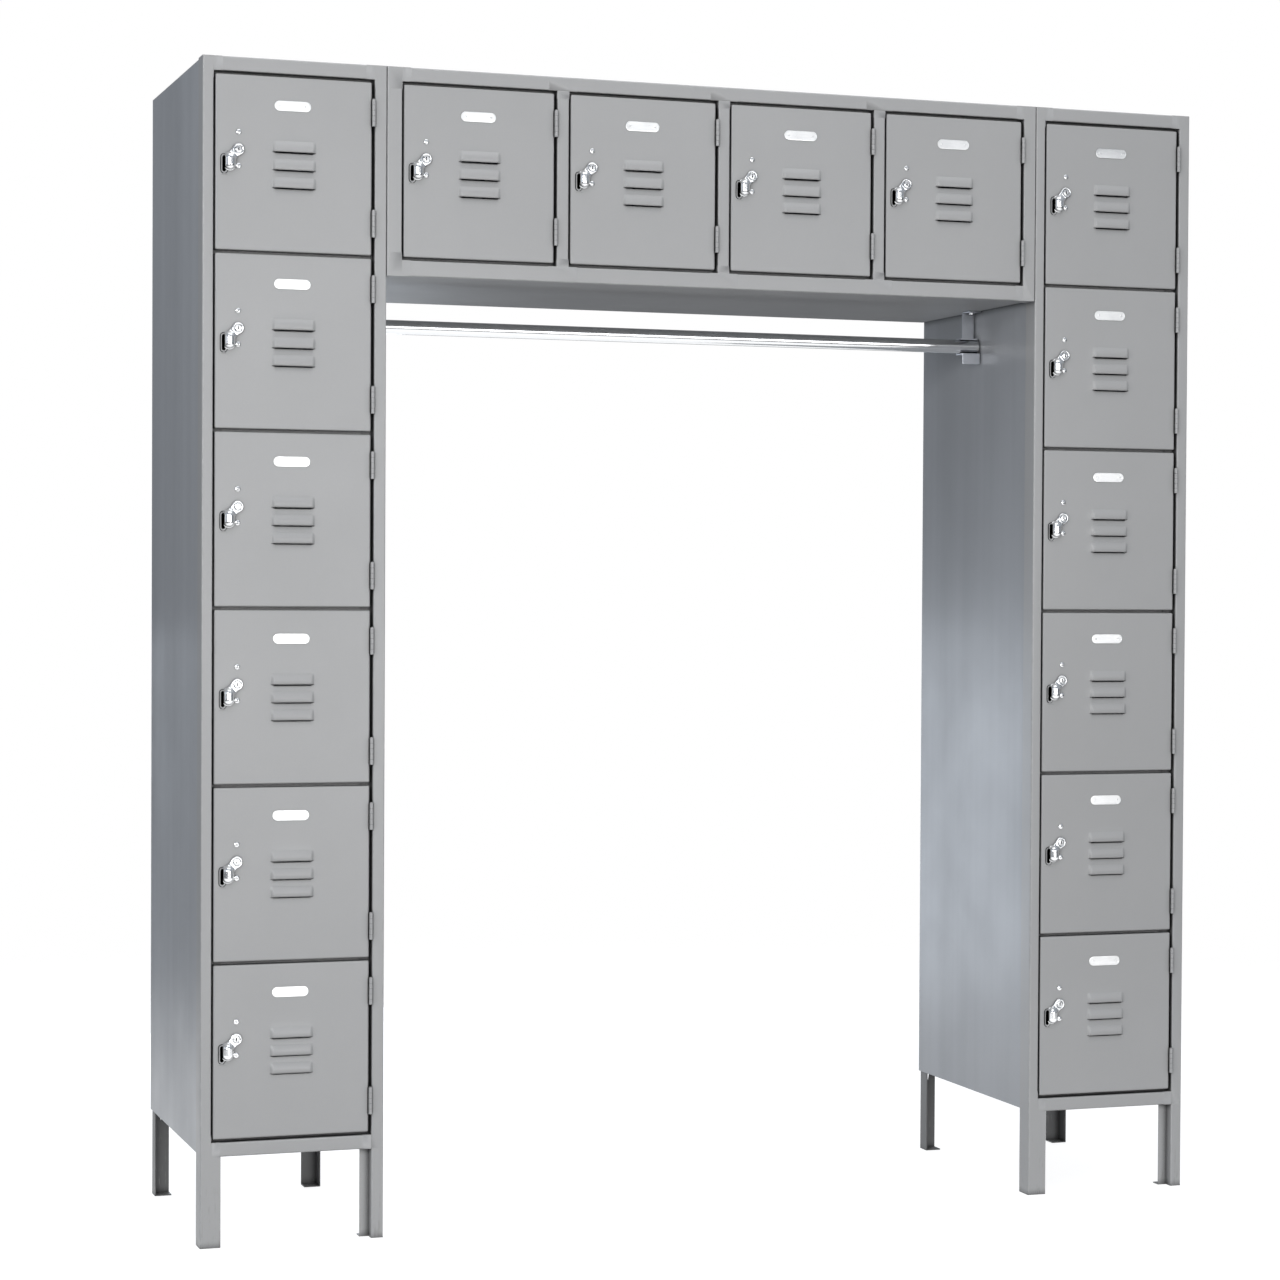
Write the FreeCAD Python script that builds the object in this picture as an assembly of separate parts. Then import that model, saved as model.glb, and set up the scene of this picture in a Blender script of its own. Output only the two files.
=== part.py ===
import FreeCAD, Part
import math
import os

# Bank of sixteen box lockers: two columns of six on legs, an overhead cabinet of four
# that bridges them, and a coat rod below it. Millimetres. Parts are drawn with x from
# the left side, y from the front face going back and z from the floor, then shifted so
# that the origin is the centre of the footprint on the floor. The front faces -Y.

V = FreeCAD.Vector

# ---- driving dimensions ----
WIDTH = 1829.0
DEPTH = 508.0
HEIGHT = 1981.0
LEG = 152.0
COLUMN_W = 312.0
TIERS = 6
BRIDGE_DOORS = 4
BRIDGE_H = 352.0

# ---- doors and the frame around them ----
DOOR_W = 265.0
DOOR_H = 291.0
DOOR_DEPTH = 16.0
DOOR_GAP = 5.0
LATCH_GAP = 2.5
DOOR_PITCH = DOOR_H + DOOR_GAP
END_MARGIN = 26.5          # top or bottom of a cabinet to the first door slot
LATCH_MARGIN = 21.0        # column side to the door's free edge
STEEL = 1.5                # folded frame and door sheet
SHEET = 1.0                # body sheet
FLANGE = 38.0              # depth of the frame's outer flanges
RETURN = 20.0              # depth of the frame's inner returns
LIP = 16.0                 # door stop behind each door edge
RAIL_LIP = 14.0
CROSS_RAIL_H = 26.0
CROSS_RAIL_D = 14.0

# ---- louvres ----
LOUVRES = 3
LOUVRE_W = 71.0
LOUVRE_H = 15.0
LOUVRE_PROUD = 4.5
LOUVRE_PITCH = 30.0
LOUVRE_TOP = 112.0         # door top to the first hood's top
LOUVRE_T = 1.2

# ---- number plate ----
PLATE_W = 62.0
PLATE_H = 17.0
PLATE_T = 0.8
PLATE_DROP = 48.0
PLATE_X = 130.0
RIVET_R = 1.8

# ---- pull and lock, from the door's free edge and its top ----
PULL_X = 24.5
PULL_DROP = 145.5
PULL_R = 8.5
PULL_T = 1.2
PULL_PROUD = 12.0
PULL_STRAIGHT = 12.0       # height between the domed ends
PULL_MOUTH = 17.5          # where the shell is cut open towards the free edge
PULL_RIM = 2.0
SLOT_X = 6.0
SLOT_W = 15.5
SLOT_H = 36.0
SLOT_DROP = 149.0
LOCK_X = 39.0
LOCK_DROP = 124.0
BARREL_R = 6.0
BARREL_CLEAR = 0.2
BARREL_PROUD = 3.5
ESCUTCHEON_R = 9.5
SCREW_DROPS = (95.0, 151.0)
SCREW_HEAD_R = 4.6
SCREW_R = 2.0
CASE_X = (22.0, 92.0)
CASE_DROP = (86.0, 196.0)
CASE_BACK = 17.0
CASE_WALL = 1.5
CAM_Y = (22.0, 25.0)
CAM_W = 16.0
CAM_REACH = 34.0
STUD_R = 3.0
NUT_R = 6.5
NUT_T = 4.0

# ---- hinges ----
HINGE_H = 45.0
HINGE_DROPS = (52.0, DOOR_H - 53.0)
KNUCKLES = 5
KNUCKLE_R = 3.2
KNUCKLE_GAP = 0.4
PIN_R = 1.4
PIN_CLEAR = 0.05
PIN_HEAD_R = 2.6
PIN_HEAD_T = 1.2
PIN_FORWARD = 2.6          # pin axis in front of the door face
LEAF_T = 1.2
LEAF_Y = (1.4, 14.0)

# ---- legs, feet, rod and fasteners ----
REAR_LEG = 30.0
REAR_LEG_T = 2.0
REAR_INSET = 4.0
NOTCH_W = 6.0
NOTCH_H = 20.0
FOOT_T = 2.0
FOOT_HOLE_R = 5.0
FOOT_HOLE_X = 18.0         # column side to the anchor hole
FOOT_HOLE_FRONT = 30.0     # front face to the front anchor hole
FOOT_HOLE_BACK = 18.0      # back face to the rear anchor hole
ROD_R = 12.7
ROD_WALL = 1.6
ROD_Y = 254.0
ROD_Z = 1564.0
BRACKET_W = 36.0
BRACKET_T = 2.5
BRACKET_SKIRT = 18.0       # front plate below the cradle
STRAP_W = 24.0
TAB_D = 34.0
BOLT_R = 3.0
BOLT_HEAD_R = 5.0
BOLT_HEAD_T = 3.0
WALL_HOLE_R = 4.5
WALL_HOLES_X = 1000.0
WALL_HOLES_Z = 240.0

BRIDGE_X0 = COLUMN_W
BRIDGE_X1 = WIDTH - COLUMN_W
BRIDGE_Z0 = HEIGHT - BRIDGE_H
RIGHT_X0 = WIDTH - COLUMN_W
BRIDGE_PITCH = (BRIDGE_X1 - BRIDGE_X0 - DOOR_W * BRIDGE_DOORS) / (BRIDGE_DOORS + 1) + DOOR_W
BRIDGE_STILE = BRIDGE_PITCH - DOOR_W
MID_FACE = BRIDGE_STILE - LATCH_GAP - DOOR_GAP
SHIFT = V(-WIDTH / 2, -(DEPTH - PULL_PROUD) / 2, 0)
FAR = 5000.0


# ---- drawing helpers ----
def box(x0, y0, z0, x1, y1, z1):
    """A box between two corners."""
    return Part.makeBox(x1 - x0, y1 - y0, z1 - z0, V(x0, y0, z0))


def rod(radius, start, end):
    """A round bar from start to end."""
    along = end - start
    return Part.makeCylinder(radius, along.Length, start, along)


def prism(points, along):
    """A closed outline of straight edges, pushed along a vector."""
    wire = Part.makePolygon(points + points[:1])
    return Part.Face(wire).extrude(along)


def fused(shapes):
    """One clean solid from touching shapes."""
    return shapes[0].multiFuse(shapes[1:]).removeSplitter()


def cut(shape, tools):
    """Shape with every tool taken away."""
    return shape.cut(Part.makeCompound(tools))


def slab(half_length, radius, y0, y1, centre_x, centre_z, turned=False):
    """A plate with round ends in the door's plane; turned stands it upright."""
    dx, dz = (0, half_length) if turned else (half_length, 0)
    wx, wz = (radius, 0) if turned else (0, radius)
    middle = box(centre_x - dx - wx, y0, centre_z - dz - wz, centre_x + dx + wx, y1, centre_z + dz + wz)
    ends = []
    for s in (-1, 1):
        x, z = centre_x + s * dx, centre_z + s * dz
        ends.append(rod(radius, V(x, y0, z), V(x, y1, z)))
    return fused([middle] + ends)


def hexagon(radius, start, along):
    """A nut or bolt head, pushed from start along a vector."""
    axis = V(along)
    axis.normalize()
    side = V(0, 0, 1) if abs(axis.z) < 0.5 else V(0, 1, 0)
    other = axis.cross(side)
    corners = [start + side * (radius * math.cos(math.radians(60 * i)))
               + other * (radius * math.sin(math.radians(60 * i))) for i in range(6)]
    return prism(corners, along)


# ---- frames ----
def stile(outline, x, facing, z0, z1):
    """A folded upright from an outline of x offsets and depths; facing -1 mirrors it."""
    return prism([V(x + facing * across, back, z0) for across, back in outline], V(0, 0, z1 - z0))


def end_stile(x, facing, face, z0, z1):
    """An upright at a cabinet's side: outer flange, face, inner return and door stop."""
    outline = [(0, 0), (face, 0), (face, RETURN - STEEL), (face + LIP, RETURN - STEEL),
               (face + LIP, RETURN), (face - STEEL, RETURN), (face - STEEL, STEEL),
               (STEEL, STEEL), (STEEL, FLANGE), (0, FLANGE)]
    return stile(outline, x, facing, z0, z1)


def latch_leg(x, facing, face, z1):
    """The latch stile's lower end: a plain angle as wide as the stile with its door stop."""
    outline = [(0, 0), (face + LIP, 0), (face + LIP, STEEL), (STEEL, STEEL), (STEEL, FLANGE), (0, FLANGE)]
    return stile(outline, x, facing, 0, z1)


def mid_stile(x, face, z0, z1):
    """An upright between two doors, with a door stop on both sides."""
    inside, step = RETURN - STEEL, face - STEEL
    outline = [(0, 0), (face, 0), (face, inside), (face + LIP, inside), (face + LIP, RETURN),
               (step, RETURN), (step, STEEL), (STEEL, STEEL), (STEEL, RETURN),
               (-LIP, RETURN), (-LIP, inside), (0, inside)]
    return stile(outline, x, 1, z0, z1)


def end_rail(x0, x1, z, up, face):
    """The rail at a cabinet's top (up = -1) or bottom (up = 1), with a stop for the door."""
    inner = z + up * face

    def plate(xa, xb, depth0, depth1, za, zb):
        return box(xa, depth0, min(za, zb), xb, depth1, max(za, zb))

    return fused([
        plate(x0, x1, 0, STEEL, z, inner),
        plate(x0, x1, 0, FLANGE, z, z + up * STEEL),
        plate(x0, x1, 0, RETURN, inner - up * STEEL, inner),
        plate(x0, x1, RETURN - STEEL, RETURN, inner - up * STEEL, inner + up * RAIL_LIP),
    ])


def cross_rail(x0, x1, z):
    """The channel behind the gap between two doors of a column."""
    back = RETURN + CROSS_RAIL_D
    low, high = z - CROSS_RAIL_H / 2, z + CROSS_RAIL_H / 2
    return fused([
        box(x0, RETURN, low, x1, RETURN + STEEL, high),
        box(x0, RETURN, high - STEEL, x1, back, high),
        box(x0, RETURN, low, x1, back, low + STEEL),
    ])


def shelf_levels():
    """Heights of the gaps between a column's doors."""
    first = LEG + END_MARGIN
    return [first + DOOR_PITCH * i for i in range(1, TIERS)]


def column_frame(x0):
    """Two stiles that run down as legs, the rails between them and the foot plates."""
    x1 = x0 + COLUMN_W
    latch_face = LATCH_MARGIN - LATCH_GAP
    hinge_face = COLUMN_W - LATCH_MARGIN - DOOR_W - DOOR_GAP
    latch = fused([end_stile(x0, 1, latch_face, LEG, HEIGHT), latch_leg(x0, 1, latch_face, LEG)])
    hinge = end_stile(x1, -1, hinge_face, 0, HEIGHT)
    face = END_MARGIN - DOOR_GAP / 2
    rails = [end_rail(x0 + STEEL, x1 - STEEL, z, up, face) for z, up in ((HEIGHT, -1), (LEG, 1))]
    pieces = [latch, hinge] + [biggest(cut(rail, [latch, hinge])) for rail in rails]
    pieces += [cross_rail(x0 + latch_face, x1 - hinge_face, z) for z in shelf_levels()]
    for x, facing, span, front in ((x0, 1, latch_face + LIP, STEEL), (x1, -1, hinge_face + LIP, RETURN)):
        near, far = sorted((x + facing * STEEL, x + facing * span))
        plate = box(near, front, 0, far, FLANGE, FOOT_T)
        hole = V(x + facing * FOOT_HOLE_X, FOOT_HOLE_FRONT, 0)
        pieces.append(cut(plate, [rod(FOOT_HOLE_R, hole, hole + V(0, 0, FOOT_T))]))
    return pieces


def biggest(shape):
    """The largest solid of a cut shape; the rest are offcuts."""
    return max(shape.Solids, key=lambda s: s.Volume)


def mid_stile_edges():
    """x of the left edge of each upright between two overhead doors."""
    return [BRIDGE_X0 + BRIDGE_PITCH * i + DOOR_GAP for i in range(1, BRIDGE_DOORS)]


def overhead_frame():
    """Five stiles and two rails."""
    ends = [end_stile(BRIDGE_X0, 1, BRIDGE_STILE - LATCH_GAP, BRIDGE_Z0, HEIGHT),
            end_stile(BRIDGE_X1, -1, BRIDGE_STILE - DOOR_GAP, BRIDGE_Z0, HEIGHT)]
    top_face = END_MARGIN - DOOR_GAP / 2
    bottom_face = BRIDGE_H - END_MARGIN - DOOR_PITCH - DOOR_GAP / 2
    x0, x1 = BRIDGE_X0 + STEEL, BRIDGE_X1 - STEEL
    rails = [end_rail(x0, x1, HEIGHT, -1, top_face), end_rail(x0, x1, BRIDGE_Z0, 1, bottom_face)]
    mids = [cut(mid_stile(x, MID_FACE, BRIDGE_Z0 + STEEL, HEIGHT - STEEL), rails) for x in mid_stile_edges()]
    return ends + [biggest(s) for s in mids] + [biggest(cut(rail, ends)) for rail in rails]


# ---- sheet metal of the bodies ----
def cabinets():
    """x and z limits of the left column, the overhead cabinet and the right column."""
    return [(0, COLUMN_W, LEG), (BRIDGE_X0, BRIDGE_X1, BRIDGE_Z0), (RIGHT_X0, WIDTH, LEG)]


def joint_bolts():
    """Centre points of the bolts that hold the overhead cabinet to each column."""
    return [(x, y, z) for x in (BRIDGE_X0, BRIDGE_X1) for y in (90.0, DEPTH - 90.0)
            for z in (BRIDGE_Z0 + 70.0, HEIGHT - 90.0)]


def bolt_holes():
    """Holes along x for the joint bolts."""
    reach = STEEL + SHEET + 1
    return [rod(BOLT_R, V(x - reach, y, z), V(x + reach, y, z)) for x, y, z in joint_bolts()]


def side_panels():
    """Sheets inside the frame's outer flanges, two to a cabinet."""
    holes = bolt_holes()
    panels = []
    for x0, x1, z0 in cabinets():
        for x in (x0 + STEEL, x1 - STEEL - SHEET):
            sheet = box(x, STEEL, z0 + STEEL, x + SHEET, DEPTH - SHEET, HEIGHT - STEEL - SHEET)
            panels.append(cut(sheet, holes))
    return panels


def wall_holes():
    """Centres of the wall anchor holes in the overhead back panel."""
    mid_x, mid_z = WIDTH / 2, (BRIDGE_Z0 + HEIGHT) / 2
    return [(mid_x + sx * WALL_HOLES_X / 2, mid_z + sz * WALL_HOLES_Z / 2)
            for sx in (-1, 1) for sz in (-1, 1)]


def back_panels():
    """One sheet over the back of each cabinet."""
    panels = []
    for x0, x1, z0 in cabinets():
        panels.append(box(x0 + STEEL, DEPTH - SHEET, z0 + STEEL, x1 - STEEL, DEPTH, HEIGHT - STEEL - SHEET))
    drills = [rod(WALL_HOLE_R, V(x, DEPTH - 2, z), V(x, DEPTH + 1, z)) for x, z in wall_holes()]
    panels[1] = cut(panels[1], drills)
    return panels


def tops_and_floors():
    """The top sheet of each cabinet, which laps under the frame, and its floor sheet."""
    sheets = []
    for x0, x1, z0 in cabinets():
        top = HEIGHT - STEEL
        sheets.append(box(x0 + STEEL, RETURN, top - SHEET, x1 - STEEL, DEPTH, top))
        low, inset = z0 + STEEL, STEEL + SHEET
        sheets.append(box(x0 + inset, RETURN, low, x1 - inset, DEPTH - SHEET, low + SHEET))
    drills = [rod(BOLT_R, V(x, y, z - 5), V(x, y, z + 5)) for x, y, z in under_bolts()]
    return [cut(s, drills) for s in sheets]


def shelves():
    """Five sheets in each column, from the cross rails to the back."""
    front = RETURN + CROSS_RAIL_D
    inset = STEEL + SHEET
    return [box(x0 + inset, front, z - SHEET / 2, x0 + COLUMN_W - inset, DEPTH - SHEET, z + SHEET / 2)
            for x0 in (0, RIGHT_X0) for z in shelf_levels()]


def partitions():
    """Three upright sheets between the overhead compartments."""
    z0, z1 = BRIDGE_Z0 + STEEL + SHEET, HEIGHT - STEEL - SHEET
    middles = [x + MID_FACE / 2 for x in mid_stile_edges()]
    return [box(x - SHEET / 2, RETURN, z0, x + SHEET / 2, DEPTH - SHEET, z1) for x in middles]


# ---- rear legs ----
def rear_corners():
    """x of each rear leg's outer face, and the way that it faces."""
    return [(x, facing) for x0 in (0, RIGHT_X0)
            for x, facing in ((x0 + REAR_INSET, 1), (x0 + COLUMN_W - REAR_INSET, -1))]


def rear_leg(x, facing):
    """A folded angle with a tab under the floor sheet and a drilled foot plate."""
    y1 = DEPTH - REAR_INSET
    y0, t, top = y1 - REAR_LEG, REAR_LEG_T, LEG + STEEL

    def span(a, b, ya, yb, za, zb):
        near, far = sorted((x + facing * a, x + facing * b))
        return box(near, ya, za, far, yb, zb)

    angle = fused([span(0, t, y0, y1, 0, top), span(0, REAR_LEG, y1 - t, y1, 0, top),
                   span(0, REAR_LEG, y0, y1, top - t, top), span(0, REAR_LEG, y0, y1, 0, FOOT_T)])
    # the fold's corner is opened below the tab, so that the two sides can be bent apart
    middle = x + facing * (REAR_LEG / 2)
    z_notch = top - t
    notch = prism([V(middle - NOTCH_W / 2, 0, z_notch), V(middle + NOTCH_W / 2, 0, z_notch),
                   V(middle, 0, z_notch - NOTCH_H)], V(0, FAR, 0))
    hole = V(column_side(x) + facing * FOOT_HOLE_X, DEPTH - FOOT_HOLE_BACK, 0)
    bolt = V(middle, (y0 + y1) / 2, top - t)
    return cut(angle, [notch, rod(FOOT_HOLE_R, hole, hole + V(0, 0, FOOT_T)),
                       rod(BOLT_R, bolt, bolt + V(0, 0, t))])


def column_side(x):
    """The cabinet side that a rear leg stands beside."""
    return min((0, COLUMN_W, RIGHT_X0, WIDTH), key=lambda side: abs(side - x))


def rear_leg_bolts():
    """Top of each rear leg's bolt tab."""
    y = DEPTH - REAR_INSET - REAR_LEG / 2
    return [(x + facing * REAR_LEG / 2, y, LEG + STEEL) for x, facing in rear_corners()]


# ---- coat rod ----
def bracket_ends():
    """x of each column side under the bridge, and the way into the bay."""
    return [(COLUMN_W, 1), (RIGHT_X0, -1)]


def rod_bracket(x, facing):
    """A strap down from the bridge's floor that folds into a cradle round the rod's end."""
    outer, t = ROD_R, BRACKET_T
    low, high = ROD_Z - outer - t, ROD_Z + outer + t
    back = ROD_Y + outer

    def span(a, b, ya, yb, za, zb):
        near, far = sorted((x + facing * a, x + facing * b))
        return box(near, ya, za, far, yb, zb)

    under = BRIDGE_Z0 + STEEL
    tab_hole = V(x + facing * STRAP_W / 2, back + t - TAB_D / 2, under - t)
    body = fused([
        span(0, BRACKET_W, back, back + t, low, high),
        span(0, BRACKET_W, ROD_Y - outer - t, back, low, low + t),
        span(0, BRACKET_W, ROD_Y - outer - t, ROD_Y - outer, low - BRACKET_SKIRT, low),
        span(0, BRACKET_W, ROD_Y - outer / 2, back, high - t, high),
        span(0, STRAP_W, back, back + t, high, under),
        span(0, STRAP_W, back + t - TAB_D, back, under - t, under),
    ])
    return cut(body, [rod(BOLT_R, tab_hole, tab_hole + V(0, 0, t))])


def rod_bolts():
    """Top of each rod bracket's bolt tab."""
    return [(x + facing * STRAP_W / 2, ROD_Y + ROD_R + BRACKET_T - TAB_D / 2, BRIDGE_Z0 + STEEL)
            for x, facing in bracket_ends()]


def coat_rod():
    """A tube that fills the bay between the two columns."""
    start, end = V(COLUMN_W, ROD_Y, ROD_Z), V(RIGHT_X0, ROD_Y, ROD_Z)
    return [rod(ROD_R, start, end).cut(rod(ROD_R - ROD_WALL, start, end))]


# ---- fasteners ----
def under_bolts():
    """Every bolt that goes up through a floor sheet, at the sheet's lower face."""
    return rear_leg_bolts() + rod_bolts()


def bolt(start, along, grip):
    """A hex bolt whose head sits at start, with its nut at the far side of the grip."""
    unit = V(along)
    unit.normalize()
    end = start + unit * grip
    shank = rod(BOLT_R, start, end + unit * BOLT_HEAD_T)
    head = hexagon(BOLT_HEAD_R, start, unit * -BOLT_HEAD_T)
    nut = hexagon(BOLT_HEAD_R, end, unit * BOLT_HEAD_T)
    return fused([shank, head, nut])


def fasteners():
    """Bolts under the cabinets and through the joint between bridge and columns."""
    under = [(place, REAR_LEG_T) for place in rear_leg_bolts()]
    under += [(place, BRACKET_T) for place in rod_bolts()]
    reach = STEEL + SHEET
    return ([bolt(V(x, y, z - tab), V(0, 0, 1), tab + SHEET) for (x, y, z), tab in under]
            + [bolt(V(x - reach, y, z), V(1, 0, 0), 2 * reach) for x, y, z in joint_bolts()])


# ---- doors: drawn with x from the free edge, y back from the face, z from the bottom ----
def louvre(z_top):
    """The hood's outer solid, and the space to take out of it and of the door."""
    z_low = z_top - LOUVRE_H
    x0 = (DOOR_W - LOUVRE_W) / 2

    def hood(top, proud, back, width):
        bulge = V(0, -proud * 0.72, z_low + (top - z_low) * 0.42)
        arc = Part.Arc(V(0, 0, top), bulge, V(0, -proud, z_low)).toShape()
        sides = Part.makePolygon([V(0, -proud, z_low), V(0, back, z_low), V(0, back, top), V(0, 0, top)])
        return Part.Face(Part.Wire([arc] + sides.Edges)).extrude(V(width, 0, 0))

    outer = hood(z_top, LOUVRE_PROUD, STEEL / 2, LOUVRE_W)
    outer.translate(V(x0, 0, 0))
    inner = hood(z_top - 1.4 * LOUVRE_T, LOUVRE_PROUD - LOUVRE_T, 2 * STEEL, LOUVRE_W - 2 * LOUVRE_T)
    inner.translate(V(x0 + LOUVRE_T, 0, 0))
    return outer, inner


def lock_axis():
    """Point where the lock's axis meets the door face."""
    return V(LOCK_X, 0, DOOR_H - LOCK_DROP)


def through(radius, point, y0, y1):
    """A round bar along y at a point of the door."""
    return rod(radius, V(point.x, y0, point.z), V(point.x, y1, point.z))


def door_panel():
    """A folded pan with rounded front edges, louvres, the pull's slot and the lock's holes."""
    pan = Part.makeBox(DOOR_W, DOOR_DEPTH, DOOR_H)
    front = [e for e in pan.Edges if e.BoundBox.YMax < 0.01]
    pan = pan.makeFillet(STEEL, front)
    pan = pan.cut(box(STEEL, STEEL, STEEL, DOOR_W - STEEL, DOOR_DEPTH + 1, DOOR_H - STEEL))
    tops = [DOOR_H - LOUVRE_TOP - LOUVRE_PITCH * i for i in range(LOUVRES)]
    hoods = [louvre(z) for z in tops]
    pan = fused([pan] + [outer for outer, inner in hoods])
    mid = DOOR_H - SLOT_DROP
    slot = box(SLOT_X, -1, mid - SLOT_H / 2, SLOT_X + SLOT_W, STEEL + 1, mid + SLOT_H / 2)
    holes = [through(BARREL_R + BARREL_CLEAR, lock_axis(), -1, STEEL + 1)]
    holes += [through(SCREW_R, V(LOCK_X, 0, DOOR_H - drop), -1, STEEL + 1) for drop in SCREW_DROPS]
    return [cut(pan, [inner for outer, inner in hoods] + [slot] + holes)]


def number_plate():
    """A blank plate with round ends."""
    z = DOOR_H - PLATE_DROP
    reach = PLATE_W / 2 - PLATE_H / 2
    return slab(reach, PLATE_H / 2, -PLATE_T, 0, PLATE_X, z)


def plate_rivets():
    """Two rivet heads on the number plate."""
    z = DOOR_H - PLATE_DROP
    reach = PLATE_W / 2 - PLATE_H / 2
    return [through(RIVET_R, V(PLATE_X + s * reach, 0, z), -PLATE_T - 0.8, -PLATE_T) for s in (-1, 1)]


def capsule(radius, x, y, z):
    """An upright bar with domed ends."""
    half = PULL_STRAIGHT / 2
    return fused([rod(radius, V(x, y, z - half), V(x, y, z + half)),
                  Part.makeSphere(radius, V(x, y, z - half)), Part.makeSphere(radius, V(x, y, z + half))])


def pull():
    """A pressed finger pull: a half shell open to the free edge, and an ear round the lock."""
    z = DOOR_H - PULL_DROP
    y = -(PULL_PROUD - PULL_R)
    lock = lock_axis()

    def bulge(radius):
        wall = slab(PULL_STRAIGHT / 2, radius, y, 0, PULL_X, z, turned=True)
        return fused([capsule(radius, PULL_X, y, z), wall])

    rim = slab(PULL_STRAIGHT / 2, PULL_R + PULL_RIM, -PULL_T, 0, PULL_X, z, turned=True)
    ring = through(ESCUTCHEON_R, lock, -PULL_T, 0)
    arm = prism([V(PULL_X, -PULL_T, z), V(PULL_X + 6, -PULL_T, z - 4), V(lock.x + 6, -PULL_T, lock.z - 7),
                 V(lock.x - 7, -PULL_T, lock.z + 6), V(PULL_X - 4, -PULL_T, z + 12)], V(0, PULL_T, 0))
    shell = fused([bulge(PULL_R), rim, ring, arm])
    away = [bulge(PULL_R - PULL_T), box(-FAR, -FAR, -FAR, PULL_MOUTH, FAR, FAR),
            box(-FAR, 0, -FAR, FAR, FAR, FAR), through(BARREL_R + BARREL_CLEAR, lock, -FAR, FAR),
            through(SCREW_HEAD_R + 0.3, V(LOCK_X, 0, DOOR_H - SCREW_DROPS[1]), -FAR, FAR)]
    return biggest(cut(shell, away))


def lock_case():
    """A coin-return lock's case on the inside of the door, with a coin slot and a coin cup."""
    x0, x1 = CASE_X
    z0, z1 = DOOR_H - CASE_DROP[1], DOOR_H - CASE_DROP[0]
    front, back, wall = STEEL, STEEL + CASE_BACK, CASE_WALL
    outer = box(x0, front, z0, x1, back, z1)
    inner = box(x0 + wall, front + wall, z0 + wall, x1 - wall, back - wall, z1 - wall)
    tube = through(BARREL_R + BARREL_CLEAR + wall, lock_axis(), front, back)
    posts = [through(SCREW_R + wall, V(LOCK_X, 0, DOOR_H - drop), front, back) for drop in SCREW_DROPS]
    coin_slot = box(x1 - 18, back - 2 * wall, z1 - 44, x1 - 14.5, back + 1, z1 - 14)
    cup = box(x1 - 34, back - 2 * wall, z0 + 8, x1 - 8, back + 1, z0 + 22)
    case = fused([cut(outer, [inner])] + [tube] + posts)
    bores = [through(BARREL_R + BARREL_CLEAR, lock_axis(), 0, FAR)]
    bores += [through(SCREW_R, V(LOCK_X, 0, DOOR_H - drop), 0, back - wall) for drop in SCREW_DROPS]
    return cut(case, [coin_slot, cup] + bores)


def case_screws():
    """Two domed screws through the door face into the lock case."""
    screws = []
    for drop in SCREW_DROPS:
        at = V(LOCK_X, 0, DOOR_H - drop)
        shank = through(SCREW_R, at, 0, STEEL + CASE_BACK - CASE_WALL)
        head = through(SCREW_HEAD_R, at, -2, 0)
        rim = [e for e in head.Edges if e.BoundBox.YMax < -1.9]
        screws.append(fused([shank, head.makeFillet(1.2, rim)]))
    return screws


def knuckle_rows():
    """Low and high ends of each knuckle, from the hinge's bottom."""
    length = (HINGE_H - KNUCKLE_GAP * (KNUCKLES - 1)) / KNUCKLES
    return [(i * (length + KNUCKLE_GAP), i * (length + KNUCKLE_GAP) + length) for i in range(KNUCKLES)]


def hinge_leaf(side, rows, bore, z):
    """A leaf against the door (side -1) or the frame (side 1), with its knuckles."""
    x = DOOR_W + DOOR_GAP / 2
    near, far = sorted((x + side * (DOOR_GAP / 2 - LEAF_T), x + side * DOOR_GAP / 2))
    pieces = [box(near, LEAF_Y[0], z, far, LEAF_Y[1], z + HINGE_H)]
    for low, high in rows:
        pieces.append(rod(KNUCKLE_R, V(x, -PIN_FORWARD, z + low), V(x, -PIN_FORWARD, z + high)))
        pieces.append(box(near, -PIN_FORWARD, z + low, far, LEAF_Y[0], z + high))
    return cut(fused(pieces), [rod(bore, V(x, -PIN_FORWARD, z - 1), V(x, -PIN_FORWARD, z + HINGE_H + 1))])


def hinge_bottoms():
    """Height of each hinge's lower end on the door."""
    return [DOOR_H - drop - HINGE_H / 2 for drop in HINGE_DROPS]


def door_leaves():
    """The door's half of both hinges: knuckles two and four."""
    return [hinge_leaf(-1, knuckle_rows()[1::2], PIN_R + PIN_CLEAR, z) for z in hinge_bottoms()]


def frame_hinges():
    """The frame's half of both hinges: knuckles one, three and five, and the headed pin."""
    pieces = []
    x = DOOR_W + DOOR_GAP / 2
    for z in hinge_bottoms():
        pieces.append(hinge_leaf(1, knuckle_rows()[0::2], PIN_R, z))
        top = z + HINGE_H
        pin = rod(PIN_R, V(x, -PIN_FORWARD, z), V(x, -PIN_FORWARD, top))
        head = rod(PIN_HEAD_R, V(x, -PIN_FORWARD, top), V(x, -PIN_FORWARD, top + PIN_HEAD_T))
        pieces.append(fused([pin, head]))
    return pieces


def door_fittings():
    """Everything that is fixed to a door."""
    return [number_plate(), pull(), lock_case()] + plate_rivets() + case_screws() + door_leaves()


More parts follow.
